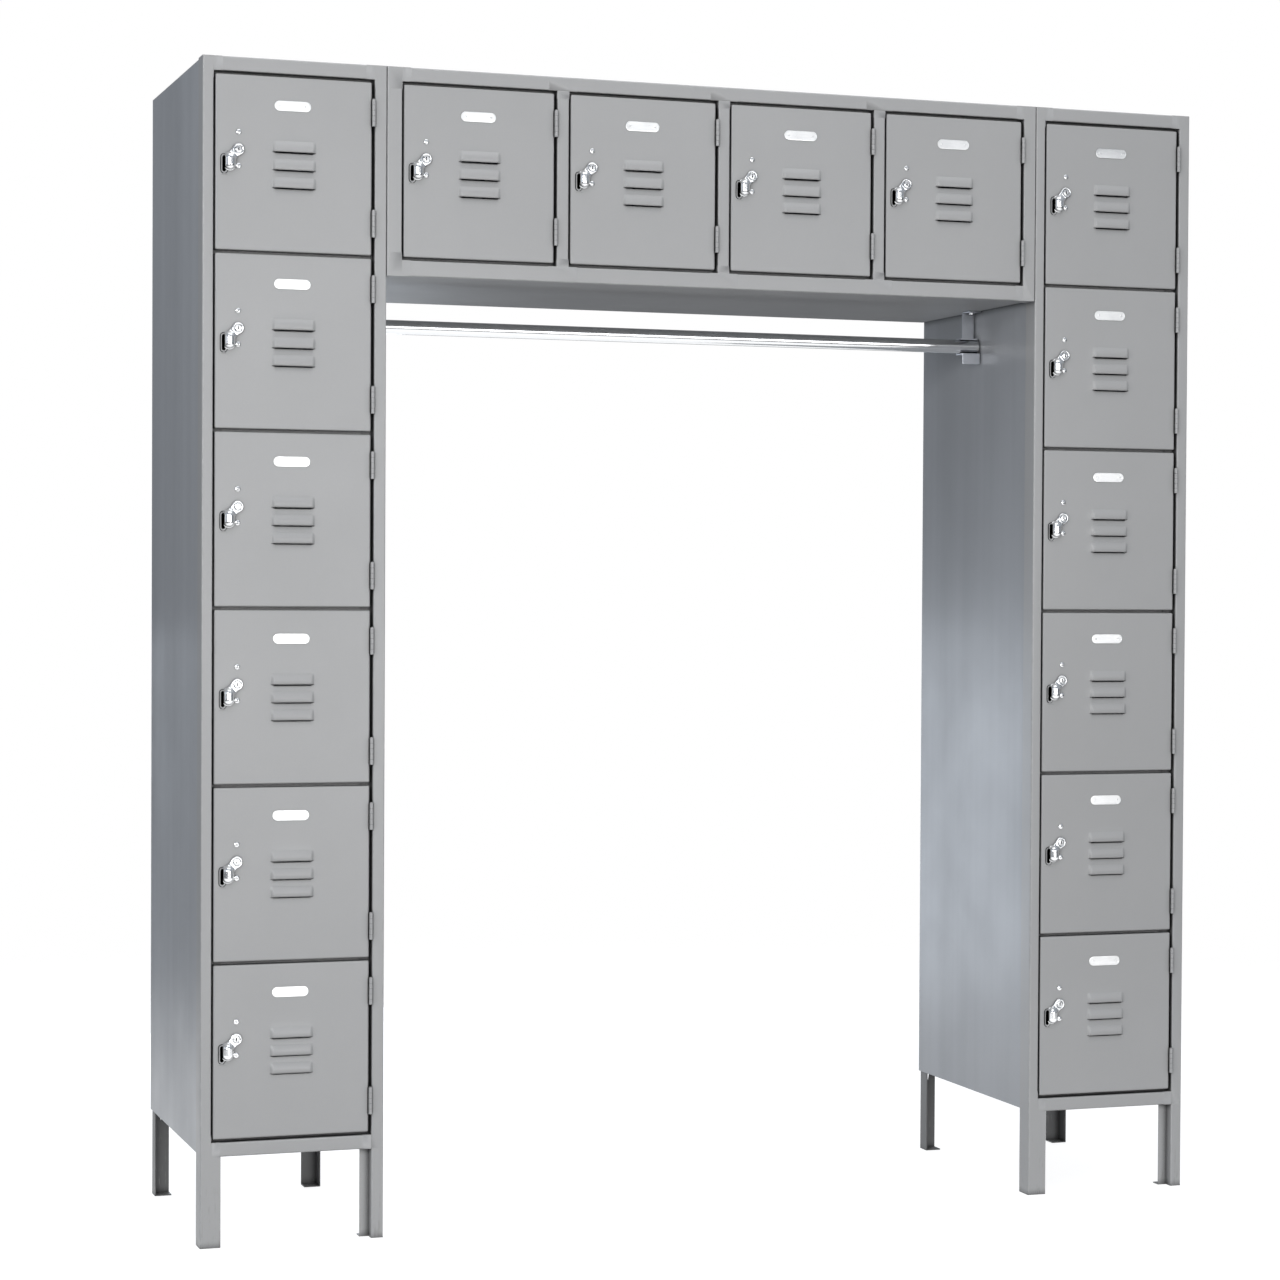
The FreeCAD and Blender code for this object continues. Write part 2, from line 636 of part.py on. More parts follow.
def lock_turn():
    """The lock's barrel with its keyway, the cam behind the case and the cam's nut."""
    axis = lock_axis()
    barrel = through(BARREL_R, axis, -BARREL_PROUD, CAM_Y[0])
    rim = [e for e in barrel.Edges if e.BoundBox.YMax < -BARREL_PROUD + 0.1]
    barrel = barrel.makeFillet(0.8, rim)
    keyway = box(axis.x - 0.7, -BARREL_PROUD - 1, axis.z - 3.5, axis.x + 0.7, 1, axis.z + 3.5)
    stud = through(STUD_R, axis, CAM_Y[0], CAM_Y[1] + NUT_T + 1)
    half = (CAM_REACH - CAM_W / 2) / 2
    cam = slab(half, CAM_W / 2, CAM_Y[0], CAM_Y[1], axis.x, axis.z - half, turned=True)
    nut = hexagon(NUT_R, V(axis.x, CAM_Y[1], axis.z), V(0, NUT_T, 0))
    return [fused([cut(barrel, [keyway]), stud]), cut(cam, [stud]), cut(nut, [stud])]


def door_places():
    """Each door's name and its lower left corner."""
    top = HEIGHT - END_MARGIN - DOOR_PITCH + DOOR_GAP / 2
    places = []
    for side, x0 in (("left", 0), ("right", RIGHT_X0)):
        for i in range(TIERS):
            places.append((f"{side}_door_{i + 1}", V(x0 + LATCH_MARGIN, 0, top - DOOR_PITCH * i)))
    for i in range(BRIDGE_DOORS):
        x = BRIDGE_X0 + BRIDGE_STILE + BRIDGE_PITCH * i
        places.append((f"overhead_door_{i + 1}", V(x, 0, top)))
    return places


# ---- write every node ----
def write(name, shapes):
    """One STEP file with the node's solids in the part's own frame."""
    placed = []
    for shape in shapes:
        moved = shape.copy()
        moved.translate(SHIFT)
        placed += moved.Solids
    for solid in placed:
        if not solid.isValid():
            raise ValueError(f"{name} has a solid that isn't valid")
    whole = placed[0] if len(placed) == 1 else Part.makeCompound(placed)
    whole.exportStep(f"parts/{name}.step")


def at_place(shapes, place):
    """Copies of a door's shapes at the door's place."""
    copies = [s.copy() for s in shapes]
    for s in copies:
        s.translate(place)
    return copies


def main():
    os.makedirs("parts", exist_ok=True)
    doors = door_places()
    panel, fittings, turn, hinges = door_panel(), door_fittings(), lock_turn(), frame_hinges()
    for name, place in doors:
        write(f"{name}_panel", at_place(panel, place))
        write(f"{name}_fittings", at_place(fittings, place))
        write(f"{name}_lock", at_place(turn, place))
    write("left_column_frame", column_frame(0))
    write("right_column_frame", column_frame(RIGHT_X0))
    write("overhead_frame", overhead_frame())
    write("frame_hinges", [s for name, place in doors for s in at_place(hinges, place)])
    write("side_panels", side_panels())
    write("back_panels", back_panels())
    write("tops_and_floors", tops_and_floors())
    write("shelves_and_partitions", shelves() + partitions())
    write("rear_legs", [rear_leg(x, facing) for x, facing in rear_corners()])
    write("coat_rod", coat_rod())
    write("rod_brackets", [rod_bracket(x, facing) for x, facing in bracket_ends()])
    write("fasteners", fasteners())


main()
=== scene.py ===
import math

import bmesh
import bpy
import numpy as np
from mathutils import Matrix, Vector

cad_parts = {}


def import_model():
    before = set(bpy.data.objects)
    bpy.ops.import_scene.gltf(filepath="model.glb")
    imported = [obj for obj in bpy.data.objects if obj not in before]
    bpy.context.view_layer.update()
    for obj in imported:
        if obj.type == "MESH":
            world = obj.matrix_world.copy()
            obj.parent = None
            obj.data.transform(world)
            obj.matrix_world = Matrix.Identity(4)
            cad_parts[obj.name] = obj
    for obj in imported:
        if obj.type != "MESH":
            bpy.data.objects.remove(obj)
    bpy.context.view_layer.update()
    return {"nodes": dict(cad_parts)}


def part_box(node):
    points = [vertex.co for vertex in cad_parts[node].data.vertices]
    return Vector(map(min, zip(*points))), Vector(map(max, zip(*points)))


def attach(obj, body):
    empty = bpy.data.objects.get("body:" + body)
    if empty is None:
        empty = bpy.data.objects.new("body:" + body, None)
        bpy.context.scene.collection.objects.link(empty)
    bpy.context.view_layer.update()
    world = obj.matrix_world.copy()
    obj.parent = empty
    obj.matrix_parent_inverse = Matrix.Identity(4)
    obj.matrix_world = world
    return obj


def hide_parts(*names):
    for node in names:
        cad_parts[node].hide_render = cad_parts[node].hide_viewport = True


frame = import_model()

MM = 0.001

# ---- sizes of details, in millimetres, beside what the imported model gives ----
FOLD_R = 2.8               # outside radius of a folded edge on the door frames
STRAP_FOLD_R = 1.0         # and on the rod brackets
DOOR_FOLD_R = 3.0          # and on the doors
CASE_FOLD_R, CAM_FOLD_R, NUT_FOLD_R = 1.0, 0.5, 0.4
SHEET_T = 1.5
ROD_WALL, ROD_TURNS = 1.6, 72
PAN_DEPTH = 16.0           # from the door's face to the back of its flanges
GRID_STEP = 12.0           # widest spacing of the lines over a door's face
LOUVRES = 3
LOUVRE_W, LOUVRE_H, LOUVRE_PITCH, LOUVRE_TOP = 75.0, 19.0, 30.0, 105.5
LOUVRE_PROUD, LOUVRE_END = 4.5, 7.0
LOUVRE_MOUTH = 2.2         # the opening below each hood's lip
SLOT = (8.5, 148.5, 13.0, 34.0)      # left side, centre below the top, width, height
SLOT_DEPTH = 4.0
PULL_BODY = (24.3, 144.5)            # centre: from the free edge, below the top
PULL_R, PULL_CENTRE_OUT, PULL_HALF = 9.2, 2.8, 5.0
PULL_MOUTH, PULL_WALL, PULL_RIM = 16.0, 1.2, 1.4
PULL_CELL = 0.62           # grid spacing of the pull's distance field
RING_R, RING_TUBE = 8.0, 1.6
BARREL_BACK = 22.0         # how far behind the door's face the lock's barrel ends

# ---- in metres ----
# how far the painted shade in crevices reaches, on paint and on metal
CREVICE_SHADE_REACH, METAL_CREVICE_SHADE_REACH = 0.014, 0.004
SHORTEST_FOLD = 0.004      # edges shorter than this are a sheet's cut ends
NARROWEST_SIDE = 0.006     # the sides that meet at a fold are wider than this
NARROWEST_LOCK_SIDE = 0.002
FOLD_ANGLE = math.radians(50)
BRUSH_DEPTH = 0.00002
FLOOR_R, FLOOR_DROP = 9.0, 0.0005

# ---- studio ----
WORLD_STRENGTH = 0.55
CAMERA_PLACE = (-1.8427, -5.3837, 1.1009)
CAMERA_YAW, CAMERA_PITCH, CAMERA_ROLL = -19.432, -1.137, -0.327
CAMERA_LENS, CAMERA_SENSOR, CAMERA_SHIFT = 87.44, 36.0, (-0.05, 0.0094)
TONE_SEED, TONE_SPREAD = 7, 0.012    # how much the doors differ in lightness


# ---------------------------------------------------------------- materials
def node(tree, kind, inputs=None, **props):
    """A shader node; an input that is a socket is linked, any other value is set."""
    made = tree.nodes.new(kind)
    for key, value in props.items():
        setattr(made, key, value)
    for key, value in (inputs or {}).items():
        socket = made.inputs[key]
        if isinstance(value, bpy.types.NodeSocket):
            tree.links.new(value, socket)
        else:
            socket.default_value = value
    return made


def new_material(name):
    made = bpy.data.materials.new(name)
    made.use_nodes = True
    tree = made.node_tree
    tree.nodes.clear()
    output = tree.nodes.new("ShaderNodeOutputMaterial")
    shader = tree.nodes.new("ShaderNodeBsdfPrincipled")
    tree.links.new(shader.outputs[0], output.inputs["Surface"])
    return made, tree, shader


def noise(tree, vector, scale, detail, roughness=0.5):
    return node(tree, "ShaderNodeTexNoise", {"Vector": vector, "Scale": scale, "Detail": detail,
                                             "Roughness": roughness}).outputs["Fac"]


def stretched(tree, vector, scale):
    return node(tree, "ShaderNodeMapping", {"Vector": vector, "Scale": scale}).outputs[0]


def ranged(tree, value, low, high, out_low, out_high, smooth=False):
    return node(tree, "ShaderNodeMapRange",
                {"Value": value, "From Min": low, "From Max": high, "To Min": out_low, "To Max": out_high},
                interpolation_type="SMOOTHSTEP" if smooth else "LINEAR", clamp=True).outputs[0]


def maths(tree, operation, first, second):
    return node(tree, "ShaderNodeMath", {0: first, 1: second}, operation=operation).outputs[0]


def blend_colour(tree, factor, first, second, mode="MIX"):
    made = node(tree, "ShaderNodeMix", {"Factor": factor}, data_type="RGBA", blend_type=mode)
    for index, value in ((6, first), (7, second)):
        if isinstance(value, bpy.types.NodeSocket):
            tree.links.new(value, made.inputs[index])
        else:
            made.inputs[index].default_value = value
    return made.outputs[2]


def grey(level, warm=0.0):
    return (level * (1 + warm), level, level * (1 - warm), 1.0)


def shaded(tree, base, value):
    """A colour made lighter or darker by a value."""
    factor = node(tree, "ShaderNodeCombineColor", {0: value, 1: value, 2: value}).outputs[0]
    return blend_colour(tree, 1.0, base, factor, "MULTIPLY")


def openness(tree, reach):
    """How open the surface is to its surroundings: low in a crevice."""
    return node(tree, "ShaderNodeAmbientOcclusion", {"Distance": reach}, samples=8).outputs["AO"]


def paint_material(name, base, wear_and_highlight=0.0, reflection_streaks=0.0, rough=0.4, wave=0.35, colour_kept_in_shade=0.0):
    """Baked enamel over sheet steel: orange peel, slow tone changes, dust, scuffs near the floor.

    Crevices and gaps get painted shade, darkened towards black from their ambient occlusion; the last
    argument says how much of their own colour they keep in that shade.
    """
    made, tree, shader = new_material(name)
    at = node(tree, "ShaderNodeTexCoord").outputs["Object"]
    up = node(tree, "ShaderNodeSeparateXYZ",
              {0: node(tree, "ShaderNodeNewGeometry").outputs["Normal"]}).outputs["Z"]
    height = node(tree, "ShaderNodeSeparateXYZ", {0: at}).outputs["Z"]
    seed = node(tree, "ShaderNodeAttribute", attribute_type="OBJECT", attribute_name="tone").outputs["Fac"]

    broad = ranged(tree, noise(tree, at, 1.7, 3.0), 0.3, 0.7, -0.022, 0.022)
    cloud = ranged(tree, noise(tree, at, 14.0, 4.0, 0.6), 0.3, 0.7, -0.010, 0.010)
    grain = ranged(tree, noise(tree, at, 420.0, 2.0), 0.3, 0.7, -0.012, 0.012)
    tone = maths(tree, "ADD", maths(tree, "ADD", broad, cloud), maths(tree, "ADD", grain, seed))
    # painted reflection: soft upright bands of lighter and darker tone standing in for reflected
    # surroundings
    if reflection_streaks:
        reflected_streak_noise = noise(tree, stretched(tree, at, (7.0, 9.0, 0.35)), 1.0, 3.0, 0.55)
        tone = maths(tree, "ADD", tone, ranged(tree, reflected_streak_noise, 0.32, 0.68, -reflection_streaks, reflection_streaks))
    colour = shaded(tree, base, maths(tree, "ADD", tone, 1.0))

    dusty = maths(tree, "MULTIPLY", ranged(tree, up, 0.75, 0.95, 0.0, 0.35, True),
                  ranged(tree, noise(tree, at, 9.0, 5.0, 0.65), 0.35, 0.7, 0.2, 1.0))
    colour = blend_colour(tree, dusty, colour, (0.5, 0.49, 0.47, 1.0))
    scuffs = noise(tree, stretched(tree, at, (260.0, 260.0, 34.0)), 1.0, 3.0)
    scratched = ranged(tree, scuffs, 0.60, 0.70, 0.0, 1.0)
    low_down = maths(tree, "MULTIPLY", ranged(tree, height, 0.0, 0.16, 0.55, 0.0, True), scratched)
    colour = blend_colour(tree, low_down, colour, (0.30, 0.29, 0.28, 1.0))
    # lighter paint on the frames' rounded folds: partly wear, partly a painted highlight
    if wear_and_highlight:
        rubbed_and_highlit = ranged(tree, noise(tree, at, 60.0, 4.0, 0.6), 0.45, 0.75, 0.15 * wear_and_highlight, wear_and_highlight)
        colour = blend_colour(tree, rubbed_and_highlit, colour, (0.62, 0.62, 0.62, 1.0))
    # painted shade: crevices and gaps blended towards near-black by ambient occlusion
    unshaded_share = maths(tree, "POWER", ranged(tree, openness(tree, CREVICE_SHADE_REACH), 0.08, 0.94, colour_kept_in_shade, 1.0), 1.5)
    colour = blend_colour(tree, unshaded_share, grey(0.012), colour)
    tree.links.new(colour, shader.inputs["Base Color"])

    smudge = ranged(tree, noise(tree, at, 5.5, 4.0, 0.6), 0.3, 0.7, rough - 0.05, rough + 0.06)
    rougher = maths(tree, "ADD", smudge, maths(tree, "MULTIPLY", dusty, 0.4))
    tree.links.new(rougher, shader.inputs["Roughness"])
    shader.inputs["IOR"].default_value = 1.5
    shader.inputs["Coat Weight"].default_value = 0.12
    shader.inputs["Coat Roughness"].default_value = 0.16

    peel = node(tree, "ShaderNodeBump", {"Height": noise(tree, at, 520.0, 2.0), "Strength": 0.22,
                                         "Distance": 0.00012})
    waves = noise(tree, stretched(tree, at, (3.5, 3.5, 1.2)), 1.0, 2.0)
    sheet = node(tree, "ShaderNodeBump", {"Height": waves, "Strength": wave, "Distance": 0.004,
                                          "Normal": peel.outputs[0]})
    tree.links.new(sheet.outputs[0], shader.inputs["Normal"])
    return made


def metal_material(name, base, rough, spread, brushed=(1.0, 1.0, 1.0), spangle=0.0):
    """Bare or plated metal: fine directional marks, finger smudges, a slow change of tone, and painted
    shade in its crevices.
    """
    made, tree, shader = new_material(name)
    at = node(tree, "ShaderNodeTexCoord").outputs["Object"]
    marks = noise(tree, stretched(tree, at, tuple(900.0 * s for s in brushed)), 1.0, 3.0, 0.6)
    smears = noise(tree, at, 38.0, 4.0, 0.62)
    value = maths(tree, "ADD", ranged(tree, smears, 0.3, 0.7, 0.94, 1.0),
                  ranged(tree, marks, 0.3, 0.7, -0.03, 0.03))
    # painted shade: the metal darkened in crevices and along contact lines by ambient occlusion
    value = maths(tree, "MULTIPLY", value,
                  ranged(tree, openness(tree, METAL_CREVICE_SHADE_REACH), 0.1, 0.8, 0.08, 1.0))
    if spangle:
        cells = node(tree, "ShaderNodeTexVoronoi", {"Vector": at, "Scale": 160.0}).outputs["Color"]
        facet = node(tree, "ShaderNodeSeparateColor", {0: cells}).outputs[0]
        value = maths(tree, "ADD", value, ranged(tree, facet, 0.0, 1.0, -spangle, spangle))
    tree.links.new(shaded(tree, base, value), shader.inputs["Base Color"])
    shader.inputs["Metallic"].default_value = 1.0
    dull = maths(tree, "ADD", ranged(tree, smears, 0.35, 0.7, rough - spread, rough + spread),
                 ranged(tree, marks, 0.3, 0.7, 0.0, 0.04))
    tree.links.new(dull, shader.inputs["Roughness"])
    bump = node(tree, "ShaderNodeBump", {"Height": marks, "Strength": 0.3, "Distance": BRUSH_DEPTH})
    tree.links.new(bump.outputs[0], shader.inputs["Normal"])
    return made


PAINT = grey(0.43, 0.004)
paint = paint_material("grey_enamel", PAINT)
# the frames' rounded folds: lighter paint that is partly wear, partly a painted highlight along the folds
paint_edge = paint_material("grey_enamel_fold", PAINT, wear_and_highlight=0.35, rough=0.34)
# side and back panels: the bluish tint and upright bands are a painted reflection of the surroundings
paint_side = paint_material("grey_enamel_side", (0.405, 0.418, 0.440, 1.0), reflection_streaks=0.10, rough=0.36,
                            wave=0.6)
# rear legs: near-black paint as painted shade, standing in for the shade beneath the cabinet
leg_paint_darkened_for_shade = paint_material("rear_leg_enamel_painted_shade", grey(0.12), rough=0.45)
paint_dish = paint_material("grey_enamel_dish", grey(0.42), rough=0.45, colour_kept_in_shade=0.75)
chrome = metal_material("polished_chrome", (0.92, 0.925, 0.93, 1.0), 0.20, 0.05)
bright = metal_material("bright_aluminium", (0.93, 0.93, 0.925, 1.0), 0.34, 0.07, (0.12, 1.0, 1.6))
rod_chrome = metal_material("rod_chrome", (0.88, 0.885, 0.89, 1.0), 0.10, 0.04, (0.02, 1.0, 1.0))
steel = metal_material("bracket_steel", (0.60, 0.62, 0.66, 1.0), 0.34, 0.08, (1.0, 1.0, 0.1))
zinc = metal_material("zinc_plate", (0.62, 0.63, 0.64, 1.0), 0.38, 0.08, spangle=0.08)


# ---------------------------------------------------------------- mesh helpers
def shells(name):
    """The node's closed solids in order, each as a list of faces of corner points."""
    mesh = frame["nodes"][name].data
    corners = [tuple(round(c, 6) for c in v.co) for v in mesh.vertices]
    found, faces, loose = [], [], set()
    for face in mesh.polygons:
        ring = [corners[i] for i in face.vertices]
        faces.append(ring)
        for a, b in zip(ring, ring[1:] + ring[:1]):
            if a != b:
                loose ^= {frozenset((a, b))}
        if not loose:
            found.append(faces)
            faces = []
    return found


def limits(shell):
    """Lowest and highest corner of a solid."""
    points = np.array([p for ring in shell for p in ring])
    return Vector(points.min(0)), Vector(points.max(0))


def shell_mesh(shell):
    """A solid as a bmesh with shared corners and each flat side as one face."""
    part = bmesh.new()
    verts = {}
    for ring in shell:
        unique = list(dict.fromkeys(ring))
        if len(unique) > 2:
            for p in unique:
                if p not in verts:
                    verts[p] = part.verts.new(p)
            try:
                part.faces.new([verts[p] for p in unique])
            except ValueError:
                pass
    bmesh.ops.recalc_face_normals(part, faces=part.faces)
    bmesh.ops.dissolve_limit(part, angle_limit=math.radians(0.4), verts=part.verts, edges=part.edges)
    return part


def add_to(whole, part):
    """Moves part's geometry into whole."""
    scratch = bpy.data.meshes.new("scratch")
    part.to_mesh(scratch)
    part.free()
    whole.from_mesh(scratch)
    bpy.data.meshes.remove(scratch)


def inside(point, boxes, slack=0.00005):
    return any(all(low[k] - slack <= point[k] <= high[k] + slack for k in range(3)) for low, high in boxes)


def is_fold(edge, boxes, least):
    """True for an outside edge between two wide sides, where no other piece is joined on."""
    if edge.calc_length() <= SHORTEST_FOLD or len(edge.link_faces) != 2 or not edge.is_convex:
        return False
    if edge.calc_face_angle(0) <= FOLD_ANGLE or inside((edge.verts[0].co + edge.verts[1].co) / 2, boxes):
        return False
    return all(face.calc_area() / edge.calc_length() > least for face in edge.link_faces)


def touching(low, high, others, slack=0.0001):
    """The boxes that meet or overlap the box from low to high."""
    return [(start, end) for start, end in others
            if all(start[k] < high[k] + slack and end[k] > low[k] - slack for k in range(3))]


def softened(shell, others, radius, least, segments=4):
    """A solid with its folded edges rounded; its faces are split where its neighbours start and end."""
    bm = shell_mesh(shell)
    low, high = limits(shell)
    boxes = touching(low, high, others)
    k = max(range(3), key=lambda axis: high[axis] - low[axis])
    for at in sorted({box[end][k] for box in boxes for end in (0, 1)}):
        if low[k] + 0.0005 < at < high[k] - 0.0005:
            normal, point = Vector(), Vector()
            normal[k], point[k] = 1.0, at
            bmesh.ops.bisect_plane(bm, geom=bm.verts[:] + bm.edges[:] + bm.faces[:], dist=1e-6,
                                   plane_co=point, plane_no=normal)
    bm.normal_update()
    chosen = [edge for edge in bm.edges if is_fold(edge, boxes, least)]
    # the rounded faces take a piece's second material; on the frames that is the fold paint with its
    # painted highlight
    bmesh.ops.bevel(bm, geom=chosen, offset=radius, offset_type="OFFSET", segments=segments, profile=0.5,
                    affect="EDGES", clamp_overlap=False, material=1)
    return bm


def new_piece(name, bm, materials, body, slot, *stands_for, weighted=True):
    """An object from a bmesh, riding on a body."""
    mesh = bpy.data.meshes.new(name)
    bm.to_mesh(mesh)
    bm.free()
    mesh_piece(name, mesh, materials, body, slot, *stands_for, weighted=weighted)


def mesh_piece(name, mesh, materials, body, slot, *stands_for, weighted, smooth=35.0):
    """An object from a mesh, riding on a body; edges sharper than smooth degrees stay sharp."""
    for material in materials:
        mesh.materials.append(material)
    mesh.shade_smooth()
    mesh.set_sharp_from_angle(angle=math.radians(smooth))
    made = bpy.data.objects.new(name, mesh)
    bpy.context.scene.collection.objects.link(made)
    if weighted:
        made.modifiers.new("normals", "WEIGHTED_NORMAL").keep_sharp = True
    made["tone"] = 0.0
    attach(made, body)
    if stands_for:
        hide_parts(*stands_for)
    return made


def band(bm, a, b):
    """Faces between two rings with the same number of corners."""
    for i in range(len(a)):
        j = (i + 1) % len(a)
        bm.faces.new((a[i], a[j], b[j], b[i]))


def lathe(bm, profile, place, turns, caps=(True, True)):
    """A turned piece about the y axis from (radius, y) pairs, moved to place."""
    rings = []
    for radius, y in profile:
        angles = [2 * math.pi * i / turns for i in range(turns)]
        points = [Vector((radius * math.cos(a), y, radius * math.sin(a))) * MM + place for a in angles]
        rings.append([bm.verts.new(point) for point in points])
    for a, b in zip(rings, rings[1:]):
        band(bm, a, b)
    if caps[0]:
        bm.faces.new(list(reversed(rings[0])))
    if caps[1]:
        bm.faces.new(rings[-1])
    return rings


# ---------------------------------------------------------------- the frames and bodies
def frame_piece(node_name, piece_name, radius=FOLD_R, materials=None, slot="grey_paint"):
    """A node of folded sheet pieces, with their folds rounded."""
    solids = shells(node_name)
    boxes = [limits(s) for s in solids]
    whole = bmesh.new()
    for i, solid in enumerate(solids):
        add_to(whole, softened(solid, boxes[:i] + boxes[i + 1:], radius * MM, NARROWEST_SIDE))
    new_piece(piece_name, whole, materials or [paint, paint_edge], "cabinet", slot, node_name)


def kept(name, material):
    """A CAD node that keeps its shape and gets a better material."""
    shown = frame["nodes"][name]
    shown["tone"] = 0.0
    for entry in shown.material_slots:
        entry.material = material


def coat_rod():
    """A chrome tube with a wall, open at both ends behind the brackets."""
    low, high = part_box("coat_rod")
    middle = (low + high) / 2
    radius = (high.z - low.z) / 2
    bore = radius - ROD_WALL * MM
    bm = bmesh.new()
    angles = [2 * math.pi * i / ROD_TURNS for i in range(ROD_TURNS)]
    rings = []
    for x, r in ((low.x, bore), (low.x, radius), (high.x, radius), (high.x, bore)):
        points = [(x, middle.y + r * math.cos(a), middle.z + r * math.sin(a)) for a in angles]
        rings.append([bm.verts.new(point) for point in points])
    for a, b in zip(rings, rings[1:] + rings[:1]):
        band(bm, a, b)
    bmesh.ops.recalc_face_normals(bm, faces=bm.faces)
    new_piece("coat_rod_tube", bm, [rod_chrome], "cabinet", "rod_chrome", "coat_rod")


# ---------------------------------------------------------------- doors
def spaced_lines(size, marks):
    """Grid lines over one side of a door: close ones round each mark and at the folds."""
    fold = [DOOR_FOLD_R * (1 - math.tan(math.radians(a))) for a in (45, 30, 15, 0)]
    lines = fold + sorted(marks) + [size - f for f in reversed(fold)]
    filled = [lines[0]]
    for at in lines[1:]:
        gap = at - filled[-1]
        parts = max(1, math.ceil(gap / GRID_STEP))
        start = filled[-1]
        filled += [start + gap * (i + 1) / parts for i in range(parts)]
    return filled


def smooth_step(t):
    t = min(1.0, max(0.0, t))
    return t * t * (3 - 2 * t)


def hood_height(x, z, width, z_top):
    """How proud the louvre's hood is at a point of the door, in millimetres."""
    t = (z_top - z) / LOUVRE_H
    if not 0 <= t <= 1:
        return 0.0
    ends = min(x - (width - LOUVRE_W) / 2, (width + LOUVRE_W) / 2 - x) / LOUVRE_END
    rise = math.sin(min(1.0, t / 0.72) * math.pi / 2) ** 0.9 - 0.14 * smooth_step((t - 0.72) / 0.28)
    return LOUVRE_PROUD * rise * smooth_step(ends) ** 0.7


def capsule_ring(x0, width, middle, height, inset):
    """Corner points of an upright hole with round ends."""
    per_end = 10
    r = width / 2 - inset
    cx, half = x0 + width / 2, height / 2 - width / 2
    points = []
    for sign in (1, -1):
        for i in range(per_end + 1):
            angle = math.pi * i / per_end + (0 if sign > 0 else math.pi)
            points.append((cx + r * math.cos(angle), middle + sign * half + r * math.sin(angle)))
    return points


def ring_edges(bm, ring):
    """The edges round a closed ring of corners."""
    return [bm.edges.get((ring[i], ring[(i + 1) % len(ring)])) for i in range(len(ring))]


